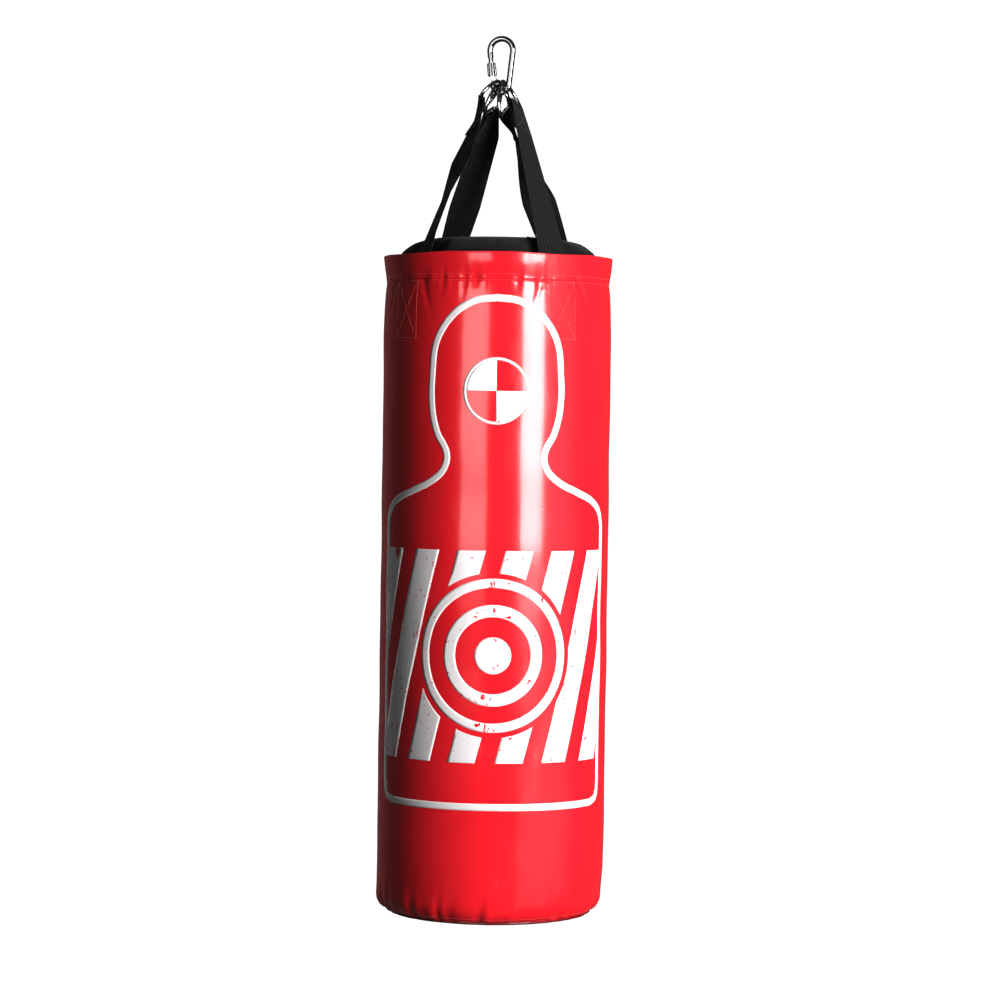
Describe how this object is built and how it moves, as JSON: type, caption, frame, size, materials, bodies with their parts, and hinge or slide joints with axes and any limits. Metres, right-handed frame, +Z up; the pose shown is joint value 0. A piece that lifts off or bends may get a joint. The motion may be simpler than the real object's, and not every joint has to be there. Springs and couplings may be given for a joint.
{
  "type": "hanging punching bag",
  "caption": "Filled cylindrical punching bag of coated cloth, hung by four webbing straps and D-rings from a screw-gate carabiner.",
  "frame": {"origin": "inside top of the carabiner's bow, where a hook bears", "axes": "+Z up along the bag's axis, -Y the printed front, +X to the right seen from the front"},
  "size_m": [0.305, 0.305, 1.1785],
  "materials": {
    "chrome": "bright plated steel",
    "pin": "plain steel",
    "ring_steel": "plated wire",
    "webbing": "black polyester webbing",
    "red_vinyl": "glossy red coated cloth",
    "base_vinyl": "red coated cloth, duller",
    "piping": "dark red piping",
    "black_cover": "black coated cloth",
    "foam": "open foam sheet",
    "filling": "shredded textile",
    "zip_cloth": "black tape",
    "zip_teeth": "black moulded",
    "zip_metal": "plated"
  },
  "bodies": {
    "carabiner": {"carabiner_body": "chrome", "gate_pin": "pin"},
    "gate": {"carabiner_gate": "chrome", "gate_spring": "pin"},
    "sleeve": {"screw_sleeve": "chrome"},
    "rings": {"ring_front_left": "ring_steel", "ring_rear_left": "ring_steel", "ring_front_right": "ring_steel", "ring_rear_right": "ring_steel"},
    "bag": {"strap_front_left": "webbing", "strap_rear_left": "webbing", "strap_front_right": "webbing", "strap_rear_right": "webbing", "shell": "red_vinyl", "hem_band": "red_vinyl", "bottom_panel": "base_vinyl", "bottom_piping": "piping", "top_cover": "black_cover", "foam_liner": "foam", "textile_fill": "filling", "zip_tape_front": "zip_cloth", "zip_tape_rear": "zip_cloth", "zip_teeth": "zip_teeth", "zip_stops": "zip_metal"},
    "slider": {"zip_slider": "zip_metal"},
    "pull": {"zip_pull": "zip_metal"}
  },
  "joints": [
    {"name": "gate_open", "type": "hinge", "parent": "carabiner", "child": "gate", "pos_m": [-0.01111, 0.00298, -0.05143], "axis": [0.2588, 0.9659, 0], "range_deg": [0, 25], "stiffness_Nm_per_rad": 0.02, "springref_deg": -17.19},
    {"name": "sleeve_slide", "type": "slide", "parent": "gate", "child": "sleeve", "axis": [-0.1064, 0.0285, 0.9939], "range_m": [0, 0.007]},
    {"name": "ring_swing", "type": "hinge", "parent": "carabiner", "child": "rings", "pos_m": [0, 0, -0.068], "axis": [0.9659, -0.2588, 0], "range_deg": [-20, 20]},
    {"name": "bag_swing", "type": "hinge", "parent": "rings", "child": "bag", "pos_m": [0, 0, -0.1], "axis": [0.2588, 0.9659, 0], "range_deg": [-20, 20], "deforming": ["strap_front_left", "strap_rear_left", "strap_front_right", "strap_rear_right"]},
    {"name": "zip_slide", "type": "slide", "parent": "bag", "child": "slider", "axis": [1, 0, 0], "range_m": [-0.13, 0.004]},
    {"name": "pull_tilt", "type": "hinge", "parent": "slider", "child": "pull", "pos_m": [0.065, 0, -0.2602], "axis": [0, 1, 0], "range_deg": [0, 150]}
  ]
}
